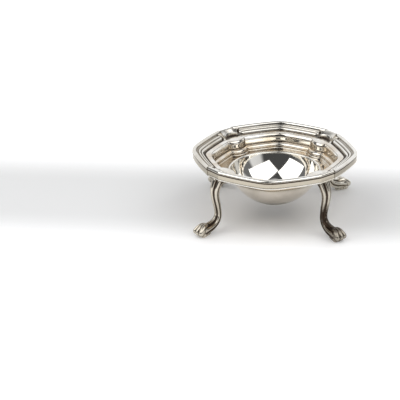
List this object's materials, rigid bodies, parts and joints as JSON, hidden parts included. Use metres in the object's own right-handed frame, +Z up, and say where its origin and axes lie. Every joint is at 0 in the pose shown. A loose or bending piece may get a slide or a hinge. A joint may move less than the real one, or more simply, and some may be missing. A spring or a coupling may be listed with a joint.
{
  "type": "salt cellar",
  "caption": "Open salt cellar: a round bowl hung in a shaped square tray with a reeded rim, on cast paw legs at its corners.",
  "frame": {"origin": "on the table, under the centre of the bowl", "axes": "+Z up; X and Y run to the blunt points in the middle of the rim's sides, and the legs stand on the diagonals"},
  "size_m": [0.084, 0.084, 0.034],
  "materials": {
    "bowl_silver": "polished inside, satin outside",
    "tray_silver": "polished, with tarnish in the hollows",
    "rim_silver": "polished, dark in the grooves",
    "leg_silver": "cast and polished, dark in the flutes"
  },
  "bodies": {
    "root": {"bowl": "bowl_silver", "bowl_ring": "rim_silver", "surround": "tray_silver", "rim_front": "rim_silver", "rim_right": "rim_silver", "rim_back": "rim_silver", "rim_left": "rim_silver", "strap_front_right": "rim_silver", "strap_back_right": "rim_silver", "strap_back_left": "rim_silver", "strap_front_left": "rim_silver", "leg_front_right": "leg_silver", "leg_back_right": "leg_silver", "leg_back_left": "leg_silver", "leg_front_left": "leg_silver"}
  },
  "joints": []
}
